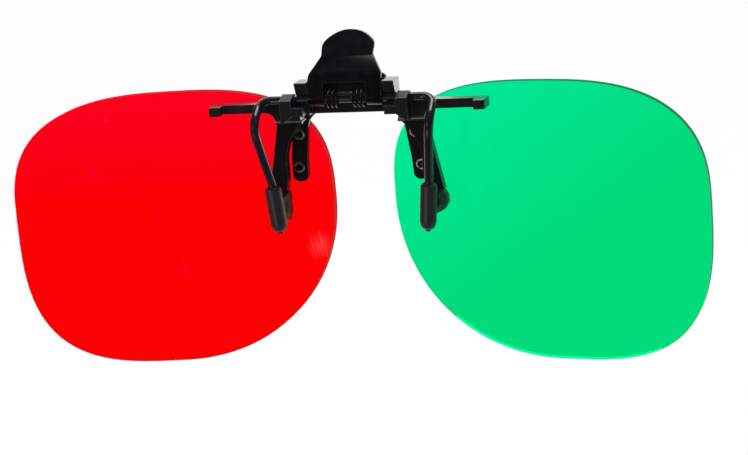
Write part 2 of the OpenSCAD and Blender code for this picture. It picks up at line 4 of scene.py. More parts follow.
import bpy
import numpy as np
from mathutils import Matrix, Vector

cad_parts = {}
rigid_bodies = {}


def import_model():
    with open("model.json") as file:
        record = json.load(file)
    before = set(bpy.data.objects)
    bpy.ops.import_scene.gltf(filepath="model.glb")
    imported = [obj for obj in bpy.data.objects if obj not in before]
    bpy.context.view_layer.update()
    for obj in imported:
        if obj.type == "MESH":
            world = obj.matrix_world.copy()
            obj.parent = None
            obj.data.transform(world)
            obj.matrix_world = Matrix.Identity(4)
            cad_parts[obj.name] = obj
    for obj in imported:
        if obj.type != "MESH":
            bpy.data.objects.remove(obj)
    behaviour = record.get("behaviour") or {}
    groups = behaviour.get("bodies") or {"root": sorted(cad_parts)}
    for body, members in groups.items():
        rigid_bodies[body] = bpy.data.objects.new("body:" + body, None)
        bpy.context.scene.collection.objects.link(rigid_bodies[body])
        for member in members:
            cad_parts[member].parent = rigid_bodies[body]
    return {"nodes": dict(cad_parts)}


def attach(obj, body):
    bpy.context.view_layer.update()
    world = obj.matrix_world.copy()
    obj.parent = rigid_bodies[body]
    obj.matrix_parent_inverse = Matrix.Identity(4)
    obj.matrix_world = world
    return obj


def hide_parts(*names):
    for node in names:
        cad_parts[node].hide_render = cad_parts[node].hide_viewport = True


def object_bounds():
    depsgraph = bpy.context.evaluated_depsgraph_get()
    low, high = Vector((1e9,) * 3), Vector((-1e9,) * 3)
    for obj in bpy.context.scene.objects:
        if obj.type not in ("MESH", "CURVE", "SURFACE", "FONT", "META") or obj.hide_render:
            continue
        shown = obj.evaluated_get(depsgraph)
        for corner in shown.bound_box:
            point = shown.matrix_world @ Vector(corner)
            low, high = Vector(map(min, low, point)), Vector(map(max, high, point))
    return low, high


bl_info = {
    "name": "Flip-up clip-on looks",
    "version": (1, 0, 0),
    "blender": (4, 5, 0),
    "location": "3D View > Sidebar > Clip-on",
    "description": "Finishes, rubber parts, spring, rivets and studio of a red and green flip-up clip-on",
    "category": "Object",
}

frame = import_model()
CAD_BOX = [list(map(float, corner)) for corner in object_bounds()]

# Shapes are worked out in millimetres and made metres in mesh_of. Lamps, camera and materials are in metres.
MM = 0.001
SIDES = (("left", -1), ("right", 1))
# a point of the grip hinge's axis, which runs along X
GRIP = np.array([0.0, 0.45, 19.45])


# Grids, profiles and paths

def grid_faces(points, close_u=False, close_v=False, cap_start=False, cap_end=False):
    """Corner points and triangles of a grid: rows run along u, columns along v, four neighbours are a face.

    close_u joins the last row to the first, close_v the last column to the first. A cap is a fan
    of triangles from the mean point of the first or last row. If the volume, the sum of the
    corners' triple products, comes out negative, every face is turned round.
    """
    rows, cols = points.shape[:2]
    index = np.arange(rows * cols).reshape(rows, cols)
    a = index if close_u else index[:-1]
    d = np.roll(index, -1, axis=0) if close_u else index[1:]
    b, c = np.roll(a, -1, axis=1), np.roll(d, -1, axis=1)
    if not close_v:
        a, b, c, d = a[:, :-1], b[:, :-1], c[:, :-1], d[:, :-1]
    quads = np.stack([a, b, c, d], axis=-1).reshape(-1, 4)
    verts = points.reshape(-1, 3)
    tris = np.vstack([quads[:, [0, 1, 2]], quads[:, [0, 2, 3]]])
    for wanted, row in ((cap_start, index[0][::-1]), (cap_end, index[-1])):
        if wanted:
            fan = np.stack([np.full_like(row, len(verts)), row, np.roll(row, -1)], axis=-1)
            verts = np.vstack([verts, verts[row].mean(axis=0)])
            tris = np.vstack([tris, fan])
    p = verts[tris] - verts.mean(axis=0)
    if np.einsum("ij,ij->i", p[:, 0], np.cross(p[:, 1], p[:, 2])).sum() < 0:
        tris = tris[:, ::-1]
    return verts, tris


def mesh_of(name, *parts):
    """One mesh from pairs of points (in millimetres) and triangles, laid end to end."""
    shift = np.cumsum([0] + [len(verts) for verts, _ in parts])
    verts = np.vstack([verts for verts, _ in parts]) * MM
    tris = np.vstack([tris + start for (_, tris), start in zip(parts, shift)])
    mesh = bpy.data.meshes.new(name)
    mesh.from_pydata(verts.tolist(), [], tris.tolist())
    mesh.update()
    return mesh


def object_of(name, mesh, finish, smooth=True):
    """A finished mesh with the material of that name, put into the scene."""
    if smooth:
        mesh.polygons.foreach_set("use_smooth", [True] * len(mesh.polygons))
    piece = bpy.data.objects.new(name, mesh)
    bpy.context.scene.collection.objects.link(piece)
    mesh.materials.append(bpy.data.materials[finish])
    return piece


def place(name, mesh, finish, body, replaced, smooth=True):
    """Puts a finished mesh into the scene, lets it ride on a CAD body and stand for a CAD node."""
    piece = object_of(name, mesh, finish, smooth)
    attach(piece, body)
    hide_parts(replaced)


def axes_along(direction):
    """Three unit vectors, the last along direction."""
    w = np.asarray(direction, float)
    w = w / np.linalg.norm(w)
    helper = np.array([1.0, 0, 0]) if abs(w[0]) < 0.8 else np.array([0, 1.0, 0])
    u = np.cross(helper, w)
    u /= np.linalg.norm(u)
    return u, np.cross(w, u), w


def circle(count):
    """Cosines and sines of count even steps round a circle."""
    angle = np.linspace(0, 2 * np.pi, count, endpoint=False)
    return np.cos(angle), np.sin(angle)


def turned(profile, origin, direction, segments):
    """A surface of revolution: each (radius, height) pair of the profile goes round the axis."""
    u, v, w = axes_along(direction)
    cosine, sine = circle(segments)
    ring = cosine[:, None] * u + sine[:, None] * v
    prof = np.asarray(profile, float)
    return np.asarray(origin) + prof[:, :1, None] * ring[None] + prof[:, 1:, None] * w[None, None]


def tube(path, out, radius, sides=14):
    """A round tube: at each path point a circle in the plane of out and of tangent cross out."""
    tangent = np.gradient(path, axis=0)
    tangent /= np.linalg.norm(tangent, axis=1, keepdims=True)
    u = out - tangent * np.einsum("ij,ij->i", out, tangent)[:, None]
    u /= np.linalg.norm(u, axis=1, keepdims=True)
    v = np.cross(tangent, u)
    cosine, sine = (part[None, :, None] for part in circle(sides))
    return path[:, None] + radius * (cosine * u[:, None] + sine * v[:, None])


def arc(centre, radius, start, stop, count):
    """Points (radius, height) on a circle between two angles in degrees."""
    t = np.radians(np.linspace(start, stop, count))
    return np.stack([centre[0] + radius * np.cos(t), centre[1] + radius * np.sin(t)], axis=-1)


# Shader nodes

def add(tree, kind, settings=None, **values):
    """A node of a kind, with its settings and the values of its sockets by name."""
    node = tree.nodes.new(kind)
    for key, value in (settings or {}).items():
        setattr(node, key, value)
    for key, value in values.items():
        node.inputs[key.replace("_", " ")].default_value = value
    return node


def wire(tree, *pairs):
    """Links each pair of an output and an input."""
    for source, target in pairs:
        tree.links.new(source, target)


def feed(tree, socket, value):
    """Links a socket to an input, or writes a number or colour on it."""
    if hasattr(value, "links"):
        tree.links.new(value, socket)
    else:
        socket.default_value = value


def maths(tree, operation, a, b=0.0):
    """One Math node; a and b are sockets or numbers."""
    node = add(tree, "ShaderNodeMath", {"operation": operation})
    feed(tree, node.inputs[0], a)
    feed(tree, node.inputs[1], b)
    return node.outputs[0]


def noise(tree, vector, **values):
    """The value of a noise texture read at vector."""
    node = add(tree, "ShaderNodeTexNoise", **values)
    wire(tree, (vector, node.inputs["Vector"]))
    return node.outputs[0]


def ramp(tree, value, start=0.0, stop=1.0, bottom=0.0, top=1.0):
    """A value mapped so that start gives bottom and stop gives top, and held between the two."""
    node = add(tree, "ShaderNodeMapRange", From_Min=start, From_Max=stop, To_Min=bottom, To_Max=top)
    wire(tree, (value, node.inputs["Value"]))
    return node.outputs[0]


def mixed(tree, share, under, over):
    """Two colours mixed: the share of the second is a mask; a colour is a socket or three numbers."""
    node = add(tree, "ShaderNodeMix", {"data_type": "RGBA"})
    wire(tree, (share, node.inputs["Factor"]))
    for name, colour in (("A", under), ("B", over)):
        feed(tree, node.inputs[name], colour if hasattr(colour, "links") else (*colour, 1))
    return node.outputs["Result"]


def cosine_between(tree, first, second):
    """The cosine between two unit directions."""
    node = add(tree, "ShaderNodeVectorMath", {"operation": "DOT_PRODUCT"})
    wire(tree, (first, node.inputs[0]), (second, node.inputs[1]))
    return node.outputs["Value"]


def group_of(name, inputs, outputs):
    """An empty shader node group that reads Vector: its tree, its input sockets by name and its output node.

    inputs gives the other inputs' defaults, None for a vector; outputs are the names of values or masks.
    """
    tree = bpy.data.node_groups.new(name, "ShaderNodeTree")
    for label, default in (("Vector", None), *inputs.items()):
        kind = "NodeSocketVector" if default is None else "NodeSocketFloat"
        sock = tree.interface.new_socket(name=label, in_out="INPUT", socket_type=kind)
        if default is not None:
            sock.default_value = default
    for label in outputs:
        tree.interface.new_socket(name=label, in_out="OUTPUT", socket_type="NodeSocketFloat")
    return tree, tree.nodes.new("NodeGroupInput").outputs, tree.nodes.new("NodeGroupOutput")


def placed_group(tree, name, vector, **values):
    """A shader node group placed in a material and read at vector."""
    node = add(tree, "ShaderNodeGroup", {"node_tree": bpy.data.node_groups[name]}, **values)
    wire(tree, (vector, node.inputs["Vector"]))
    return node


def make_speckle_group():
    """Dust: rare small spots round the middles of some cells, kept to where a broad noise is high."""
    spot_radius, patch_level = 0.16, 0.58
    tree, given, out = group_of("Dust Specks", {"Scale": 900.0, "Amount": 0.1}, ["Mask"])
    cells = add(tree, "ShaderNodeTexVoronoi", {"feature": "F1"})
    wire(tree, (given["Vector"], cells.inputs["Vector"]), (given["Scale"], cells.inputs["Scale"]))
    broad = noise(tree, given["Vector"], Scale=70.0, Detail=2.0)
    spot = maths(tree, "LESS_THAN", cells.outputs["Distance"], spot_radius)
    rare = maths(tree, "GREATER_THAN", broad, patch_level)
    pick = add(tree, "ShaderNodeSeparateColor")
    wire(tree, (cells.outputs["Color"], pick.inputs[0]))
    chosen = maths(tree, "LESS_THAN", pick.outputs[0], given["Amount"])
    mask = maths(tree, "MULTIPLY", maths(tree, "MULTIPLY", spot, rare), chosen)
    wire(tree, (mask, out.inputs["Mask"]))


def make_skin_group():
    """Moulded or lacquered skin: a fine grain as height, broad clouding, and rubbed patches as a mask."""
    tree, given, out = group_of("Surface Skin", {"Grain Scale": 2600.0, "Cloud Scale": 160.0},
                                ["Grain", "Cloud", "Rub"])
    grain = add(tree, "ShaderNodeTexNoise", Detail=3.0, Roughness=0.6)
    cloud = add(tree, "ShaderNodeTexNoise", Detail=4.0, Roughness=0.55)
    drawn_out = add(tree, "ShaderNodeMapping", Scale=(1.0, 1.0, 0.12))
    wire(tree, (given["Vector"], grain.inputs["Vector"]), (given["Grain Scale"], grain.inputs["Scale"]),
         (given["Vector"], cloud.inputs["Vector"]), (given["Cloud Scale"], cloud.inputs["Scale"]),
         (given["Vector"], drawn_out.inputs["Vector"]))
    streak = noise(tree, drawn_out.outputs[0], Scale=900.0, Detail=2.0)
    rub = maths(tree, "MULTIPLY", ramp(tree, streak, 0.52, 0.72), cloud.outputs[0])
    wire(tree, (grain.outputs[0], out.inputs["Grain"]), (cloud.outputs[0], out.inputs["Cloud"]),
         (rub, out.inputs["Rub"]))


def make_scratch_group():
    """Hair scratches: thin crests of a stretched, turned noise, kept to rare patches and to one worn place.

    The worn place is a soft ball round Centre, whose strength falls from 1 to 0 over Reach.
    """
    tree, given, out = group_of("Hair Scratches", {"Tilt": 0.6, "Centre": None, "Reach": 0.006}, ["Mask", "Near"])
    turn = add(tree, "ShaderNodeVectorRotate", {"rotation_type": "Y_AXIS"})
    stretch = add(tree, "ShaderNodeMapping", Scale=(1.0, 1.0, 0.035))
    far = add(tree, "ShaderNodeVectorMath", {"operation": "DISTANCE"})
    near = add(tree, "ShaderNodeMapRange", To_Min=1.0, To_Max=0.0)
    wire(tree, (given["Vector"], turn.inputs["Vector"]), (given["Tilt"], turn.inputs["Angle"]),
         (turn.outputs[0], stretch.inputs["Vector"]), (given["Vector"], far.inputs[0]),
         (given["Centre"], far.inputs[1]), (far.outputs["Value"], near.inputs["Value"]),
         (given["Reach"], near.inputs["From Max"]))
    hair = noise(tree, stretch.outputs[0], Scale=2600.0, Detail=1.0)
    patch = noise(tree, given["Vector"], Scale=150.0, Detail=0.0)
    where = maths(tree, "MAXIMUM", ramp(tree, patch, 0.74, 0.80, top=0.25), near.outputs[0])
    wire(tree, (maths(tree, "MULTIPLY", ramp(tree, hair, 0.64, 0.73), where), out.inputs["Mask"]),
         (near.outputs[0], out.inputs["Near"]))


def new_material(name):
    """Makes a node material. Its tree, its Principled shader and its Object coordinates."""
    mat = bpy.data.materials.new(name)
    mat.use_nodes = True
    tree = mat.node_tree
    return tree, tree.nodes["Principled BSDF"], add(tree, "ShaderNodeTexCoord").outputs["Object"]


DUST = (0.25, 0.24, 0.23)
DUST_SHARE = 0.5
RUB_SHARE = 0.5
# paler edges: partly real edge wear, partly a painted highlight where the rounded edges catch the light
WORN_EDGE_AND_HIGHLIGHT = (0.12, 0.118, 0.124)
EDGE_WEAR_AND_HIGHLIGHT = 1.2
# cosines between the rounded and the plain normal at which the edge wear and the painted edge highlight start and
# are full
EDGE_LEAN = (0.985, 0.90)
# pale band painted as a highlight along the prongs' lip
PAINTED_SEAM_HIGHLIGHT = (0.62, 0.56, 0.44)
SEAM_HIGHLIGHT_BLUR = 0.00006


def skinned(name, tones, rough, rough_span, grain_scale, grain_depth, rub_colour, specular=0.5, round_edge=0.0,
            seam_highlight=None):
    """A dark opaque finish: two tones by clouding, rubbed streaks, grain as bump, dust on top.

    With round_edge, edges are shaded as rounded by that radius and painted paler, partly as wear and partly as a
    painted highlight.
    The last argument gives the two heights between which a pale band is painted as a highlight along the lip.
    """
    tree, bsdf, coords = new_material(name)
    skin = placed_group(tree, "Surface Skin", coords, Grain_Scale=grain_scale)
    dust = placed_group(tree, "Dust Specks", coords, Scale=2200.0, Amount=0.12)
    cloud = skin.outputs["Cloud"]
    bump = add(tree, "ShaderNodeBump", Strength=0.35, Distance=grain_depth)
    wire(tree, (skin.outputs["Grain"], bump.inputs["Height"]), (bump.outputs[0], bsdf.inputs["Normal"]))

    colour = mixed(tree, cloud, *tones)
    colour = mixed(tree, maths(tree, "MULTIPLY", skin.outputs["Rub"], RUB_SHARE), colour, rub_colour)
    if round_edge:
        soft = add(tree, "ShaderNodeBevel", {"samples": 6}, Radius=round_edge).outputs[0]
        wire(tree, (soft, bump.inputs["Normal"]))
        lean = cosine_between(tree, soft, add(tree, "ShaderNodeNewGeometry").outputs["Normal"])
        # edges painted paler: partly wear, partly a painted highlight along the rounded edges
        edge = ramp(tree, lean, *EDGE_LEAN, top=EDGE_WEAR_AND_HIGHLIGHT)
        colour = mixed(tree, maths(tree, "MULTIPLY", edge, cloud), colour, WORN_EDGE_AND_HIGHLIGHT)
    colour = mixed(tree, maths(tree, "MULTIPLY", dust.outputs["Mask"], DUST_SHARE), colour, DUST)
    # the band between the two heights is painted pale as a highlight along the lip
    if seam_highlight:
        at = add(tree, "ShaderNodeSeparateXYZ")
        wire(tree, (coords, at.inputs[0]))
        above = ramp(tree, at.outputs["Z"], seam_highlight[0], seam_highlight[0] + SEAM_HIGHLIGHT_BLUR)
        below = ramp(tree, at.outputs["Z"], seam_highlight[1] + SEAM_HIGHLIGHT_BLUR, seam_highlight[1])
        colour = mixed(tree, maths(tree, "MULTIPLY", above, below), colour, PAINTED_SEAM_HIGHLIGHT)
    wire(tree, (colour, bsdf.inputs["Base Color"]),
         (ramp(tree, cloud, bottom=rough - rough_span, top=rough + rough_span), bsdf.inputs["Roughness"]))
    bsdf.inputs["Specular IOR Level"].default_value = specular


def steel(name, colour, rough, drawn=(1.0, 1.0, 1.0), stain=(0.1, 0.09, 0.08)):
    """Bare metal: streaks in roughness and bump, stretched along the axes where drawn is small, and stains."""
    tree, bsdf, coords = new_material(name)
    run = add(tree, "ShaderNodeMapping", Scale=drawn)
    wire(tree, (coords, run.inputs["Vector"]))
    skin = placed_group(tree, "Surface Skin", run.outputs[0], Cloud_Scale=900.0)
    grain = skin.outputs["Grain"]
    bump = add(tree, "ShaderNodeBump", Strength=0.3, Distance=0.00001)
    clean = ramp(tree, skin.outputs["Cloud"], 0.3, 0.6)
    wire(tree, (mixed(tree, clean, stain, colour), bsdf.inputs["Base Color"]),
         (ramp(tree, grain, bottom=rough * 0.7, top=rough * 1.4), bsdf.inputs["Roughness"]),
         (grain, bump.inputs["Height"]), (bump.outputs[0], bsdf.inputs["Normal"]))
    bsdf.inputs["Metallic"].default_value = 1.0


def paled(colour, floor, share):
    """A paler or duller colour: each channel is floor plus a share of its own value."""
    return tuple(floor + share * channel for channel in colour)


# how far the surface's own normal may point along Y before a face counts as rim
RIM_LIMIT = 0.6
# pale haze round the scratched place: partly wear, partly a painted glare
HAZE_AND_GLARE_SHARE = 0.5
MARK_ROUGHNESS = 0.4


def tinted_lens(name, pale, deep, run, worn, tilt, rim_shade_share):
    """A dyed lens: the dye deepens along a direction, marks are paler, and the ground rim is dull and darkened by a
    painted shade.

    run is (x, z, offset) of the plane whose value goes from 0 at the pale dye to 1 at the deep one.
    worn is the middle of the scratched place, whose pale haze is partly wear and partly a painted glare, and tilt
    the way its scratches lean. The rim is where the surface's own normal lies across the lens. Seen from outside it
    is darkened by a painted shade to the given share of the dye's brightness, and it is clear seen through the
    lens.
    """
    tree, bsdf, coords = new_material(name)
    dust = placed_group(tree, "Dust Specks", coords, Scale=800.0, Amount=0.05)
    hair = placed_group(tree, "Hair Scratches", coords, Tilt=tilt, Centre=worn, Reach=0.0036)
    along = add(tree, "ShaderNodeVectorMath", {"operation": "DOT_PRODUCT"})
    along.inputs[1].default_value = (run[0], 0.0, run[1])
    wire(tree, (coords, along.inputs[0]))
    cloud = noise(tree, coords, Scale=45.0, Detail=1.0)
    uneven = maths(tree, "MULTIPLY", maths(tree, "SUBTRACT", cloud, 0.5), 0.12)
    depth = maths(tree, "ADD", maths(tree, "ADD", along.outputs["Value"], run[2]), uneven)

    normal = add(tree, "ShaderNodeSeparateXYZ")
    wire(tree, (tree.nodes["Texture Coordinate"].outputs["Normal"], normal.inputs[0]))
    across = maths(tree, "LESS_THAN", maths(tree, "ABSOLUTE", normal.outputs["Y"]), RIM_LIMIT)
    outside = maths(tree, "SUBTRACT", 1.0, add(tree, "ShaderNodeNewGeometry").outputs["Backfacing"])
    rim = maths(tree, "MULTIPLY", across, outside)

    # pale spot round the scratched place: partly haze from wear, partly a painted glare
    haze_and_glare = maths(tree, "MULTIPLY", maths(tree, "POWER", hair.outputs["Near"], 2.0), HAZE_AND_GLARE_SHARE)
    specks = maths(tree, "MULTIPLY", dust.outputs["Mask"], DUST_SHARE)
    marks = maths(tree, "MAXIMUM", specks, hair.outputs["Mask"])
    colour = mixed(tree, depth, pale, deep)
    colour = mixed(tree, haze_and_glare, colour, paled(deep, 0.12, 0.88))
    colour = mixed(tree, marks, colour, paled(deep, 0.45, 0.55))
    # seen from outside, the rim is darkened by a painted shade; its roughness below is the real ground finish
    colour = mixed(tree, rim, colour, paled(deep, 0.004, rim_shade_share))

    ground = ramp(tree, noise(tree, coords, Scale=3500.0, Detail=2.0), bottom=0.7, top=0.95)
    rough = maths(tree, "MAXIMUM", maths(tree, "MULTIPLY", rim, ground),
                  maths(tree, "MULTIPLY", marks, MARK_ROUGHNESS))
    wire(tree, (colour, bsdf.inputs["Base Color"]), (rough, bsdf.inputs["Roughness"]))
    bsdf.inputs["Transmission Weight"].default_value = 1.0
    bsdf.inputs["IOR"].default_value = 1.34
    bsdf.inputs["Specular IOR Level"].default_value = 0.3


# Settings

class LensLooks(bpy.types.PropertyGroup):
    """Dyes of the two lenses."""
    red: bpy.props.FloatVectorProperty(
        name="Red dye", description="Colour of the left lens", subtype="COLOR", size=3, min=0, max=1,
        default=(1.0, 0.0, 0.0006))
    red_top: bpy.props.FloatVectorProperty(
        name="Red dye, top", description="Colour at the top of the left lens", subtype="COLOR", size=3,
        min=0, max=1,
        default=(1.0, 0.0, 0.013))
    green: bpy.props.FloatVectorProperty(
        name="Green dye", description="Colour of the right lens", subtype="COLOR", size=3, min=0, max=1,
        default=(0.0, 0.725, 0.20))
    green_top: bpy.props.FloatVectorProperty(
        name="Green dye, top", description="Colour at the top of the right lens", subtype="COLOR", size=3,
        min=0, max=1,
        default=(0.0, 0.88, 0.37))


class BlackLooks(bpy.types.PropertyGroup):
    """Finishes of the black metal, plastic and rubber."""
    lacquer: bpy.props.FloatVectorProperty(
        name="Lacquer", description="Colour of the lacquered sheet and wire", subtype="COLOR", size=3, min=0, max=1,
        default=(0.0060, 0.0050, 0.0075))
    plastic: bpy.props.FloatVectorProperty(
        name="Plastic", description="Colour of the moulded body", subtype="COLOR", size=3, min=0, max=1,
        default=(0.0160, 0.0145, 0.0175))
    rubber: bpy.props.FloatVectorProperty(
        name="Rubber", description="Colour of the sleeves and pads", subtype="COLOR", size=3, min=0, max=1,
        default=(0.020, 0.0190, 0.0225))
    soft_edge: bpy.props.FloatProperty(
        name="Edge radius", description="Rounding that the moulded and pressed edges show",
        unit="LENGTH", subtype="DISTANCE",
        default=0.0001, min=0, max=0.0004)


class GripLooks(bpy.types.PropertyGroup):
    """Sizes of the rubber sleeves, pads, spring and rivets."""
    sleeve_radius: bpy.props.FloatProperty(
        name="Sleeve radius", description="Outer radius of a rubber sleeve", unit="LENGTH", subtype="DISTANCE",
        default=0.00155, min=0.0012, max=0.0016)
    sleeve_length: bpy.props.FloatProperty(
        name="Sleeve length", description="Length of a rubber sleeve", unit="LENGTH", subtype="DISTANCE",
        default=0.0085, min=0.007, max=0.0086)
    pad_chamfer: bpy.props.FloatProperty(
        name="Pad chamfer", description="Width of the slope round a pad's face", unit="LENGTH", subtype="DISTANCE",
        default=0.0016, min=0.0003, max=0.0018)
    spring_wire: bpy.props.FloatProperty(
        name="Spring wire", description="Diameter of the spring wire", unit="LENGTH", subtype="DISTANCE",
        default=0.00036, min=0.0002, max=0.00038)
    rivet_head: bpy.props.FloatProperty(
        name="Rivet head", description="Radius of a rivet's head", unit="LENGTH", subtype="DISTANCE",
        default=0.0011, min=0.0009, max=0.0013)


class StudioLooks(bpy.types.PropertyGroup):
    """Light and floor."""
    overhead: bpy.props.FloatProperty(
        name="Overhead light", description="Power of the overhead soft box", unit="POWER", default=2.0, min=0)
    rear: bpy.props.FloatProperty(
        name="Rear light", description="Power of the low rear soft box", unit="POWER", default=1.1, min=0)
    floor_drop: bpy.props.FloatProperty(
        name="Floor drop", description="Distance of the floor below the lenses", unit="LENGTH", subtype="DISTANCE",
        default=0.05, min=0)


def shades(colour, low, high):
    """A colour made darker or lighter by two factors, for the two tones of a finish."""
    return tuple(tuple(min(1.0, channel * factor) for channel in colour) for factor in (low, high))


class CLIPON_OT_finishes(bpy.types.Operator):
    """Make the shared node groups and every finish"""
    bl_idname = "clip_on.finishes"
    bl_label = "Finishes"

    def execute(self, context):
        make_speckle_group()
        make_skin_group()
        make_scratch_group()
        black = context.scene.clip_on_black
        lens = context.scene.clip_on_lens
        lacquer = {"rough": 0.26, "rough_span": 0.05, "grain_scale": 3200.0, "grain_depth": 0.000004}
        rubbed = (0.03, 0.028, 0.03)
        prong_tones = shades(black.lacquer, 1.5, 2.1)
        skinned("lacquered sheet", shades(black.lacquer, 0.5, 0.8), **lacquer, rub_colour=(0.02, 0.018, 0.02),
                specular=0.4, round_edge=0.00012)
        skinned("lacquered prong", prong_tones, **lacquer, rub_colour=rubbed, round_edge=0.00015)
        # the lip along the block's foot lies between these heights; a pale band is painted there as its highlight
        skinned("lipped prong", prong_tones, **lacquer, rub_colour=rubbed, round_edge=0.00015,
                seam_highlight=(0.01512, 0.01531))
        skinned("lacquered wire", shades(black.lacquer, 2.0, 2.8), 0.19, 0.04, 2600.0, 0.000003, rubbed)
        skinned("moulded plastic", shades(black.plastic, 0.85, 1.2), 0.3, 0.06, 2200.0, 0.000008,
                (0.035, 0.034, 0.037), specular=0.7, round_edge=0.00022)
        skinned("black rubber", shades(black.rubber, 0.8, 1.25), 0.44, 0.06, 3000.0, 0.00001, (0.03, 0.03, 0.034))
        skinned("bushing nylon", ((0.55, 0.54, 0.5), (0.65, 0.64, 0.6)), 0.5, 0.05, 1800.0, 0.00001,
                (0.6, 0.6, 0.56))
        steel("blackened spring steel", (0.13, 0.125, 0.135), 0.34)
        steel("pin steel", (0.42, 0.42, 0.44), 0.3, drawn=(0.1, 1.0, 1.0))
        steel("rivet metal", (0.55, 0.51, 0.45), 0.36, stain=(0.03, 0.028, 0.028))
        tinted_lens("red dyed lens", tuple(lens.red_top), tuple(lens.red), run=(0.0, -50.0, 0.98),
                    worn=(-0.0094, 0.0070, -0.0096), tilt=0.2, rim_shade_share=0.3)
        # the green lens has no scratched place and no painted glare, so its middle lies off the lens
        tinted_lens("green dyed lens", tuple(lens.green_top), tuple(lens.green), run=(12.0, -18.0, 0.40),
                    worn=(0.036, 0.0, 0.2), tilt=-0.5, rim_shade_share=0.1)
        return {"FINISHED"}


CAD_FINISH = {
    "clip_body": "moulded plastic",
    "left_prong": "lipped prong",
    "right_prong": "lipped prong",
    "finger_plate": "lacquered sheet",
    "thumb_lever": "lacquered sheet",
    "lens_bridge": "lacquered prong",
    "claw_wire": "lacquered wire",
    "flip_pin": "pin steel",
    "detent_spring": "blackened spring steel",
    "left_washers": "bushing nylon",
    "right_washers": "bushing nylon",
    "lens_bushings": "bushing nylon",
    "red_lens": "red dyed lens",
    "green_lens": "green dyed lens",
}
# the share of the edge radius that each part shows
SOFT_EDGED = {"clip_body": 1.2, "left_prong": 1.2, "right_prong": 1.2, "finger_plate": 1.0, "thumb_lever": 0.9,
              "lens_bridge": 1.0}
WELD_DISTANCE = 0.000002
# faces that meet at less than the first angle are one face, edges over the second are rounded
ONE_FACE_ANGLE = np.radians(1.0)
SHARP_ANGLE = np.radians(32)


def soften(piece, width):
    """Rounds the sharp edges of a CAD mesh: corners joined, flat faces made whole, then a narrow bevel."""
    weld = piece.modifiers.new("join corners", "WELD")
    weld.merge_threshold = WELD_DISTANCE
    flat = piece.modifiers.new("plain faces", "DECIMATE")
    flat.decimate_type = "DISSOLVE"
    flat.angle_limit = ONE_FACE_ANGLE
    bevel = piece.modifiers.new("soft edges", "BEVEL")
    bevel.width = width
    bevel.segments = 2
    bevel.limit_method = "ANGLE"
    bevel.angle_limit = SHARP_ANGLE
    bevel.harden_normals = True


class CLIPON_OT_rigid_parts(bpy.types.Operator):
    """Give the rigid CAD parts their finish and a small rounding on their edges"""
    bl_idname = "clip_on.rigid_parts"
    bl_label = "Rigid parts"

    def execute(self, context):
        for node, finish in CAD_FINISH.items():
            piece = frame["nodes"][node]
            if not piece.material_slots:
                raise RuntimeError(node + " has no material slot")
            for slot in piece.material_slots:
                slot.material = bpy.data.materials[finish]
            if node in SOFT_EDGED:
                soften(piece, context.scene.clip_on_black.soft_edge * SOFT_EDGED[node])
        return {"FINISHED"}


class CLIPON_OT_sleeves(bpy.types.Operator):
    """Turn the two rubber sleeves: a collar at the wire, a slightly bellied wall and a domed end"""
    bl_idname = "clip_on.sleeves"
    bl_label = "Rubber sleeves"

    def execute(self, context):
        r = context.scene.clip_on_grip.sleeve_radius / MM
        length = context.scene.clip_on_grip.sleeve_length / MM
        bore, nub, floor, dome = 0.83, 0.47, 0.46, 1.75
        wall_foot, belly, waist, lip_r = 0.75, 0.02, 0.012, 0.14
        # closed profile of (radius, height): bore, collar lip, shoulder, bellied wall, dome, nub hole, floor
        lip = arc((bore + lip_r, lip_r), lip_r, 180, 300, 6)
        shoulder = arc((r - 0.52, 0.62), 0.5, -75, 0, 8)
        h = np.linspace(wall_foot, length - dome, 16)
        bulge = belly * np.sin(np.pi * (h - wall_foot) / (length - dome - wall_foot)) ** 2
        wall = np.stack([r - belly + bulge - waist * np.sin(2.1 * h) ** 2, h], axis=-1)
        t = np.radians(np.linspace(4, 84, 14))
        end = np.stack([nub + (r - belly - nub) * np.cos(t) ** 0.75, length - dome + dome * np.sin(t) ** 1.1],
                       axis=-1)
        hole = np.array([[nub, length - 0.04], [nub, length - floor], [bore, length - floor], [bore, 0.3]])
        profile = np.vstack([lip, shoulder, wall, end, hole])
        for side, sign in SIDES:
            # the sleeve follows the straight end of the wire, starting 0.35 mm down from its upper point
            along = np.array([sign * -0.86, 0.0, -8.9])
            along /= np.linalg.norm(along)
            start = np.array([sign * 14.76, -1.7, 4.35]) + along * 0.35
            part = grid_faces(turned(profile, start, along, 56), close_u=True, close_v=True)
            place(side + "_rubber_sleeve", mesh_of(side + " sleeve", part), "black rubber", "grip",
                  side + "_sleeve")
        return {"FINISHED"}


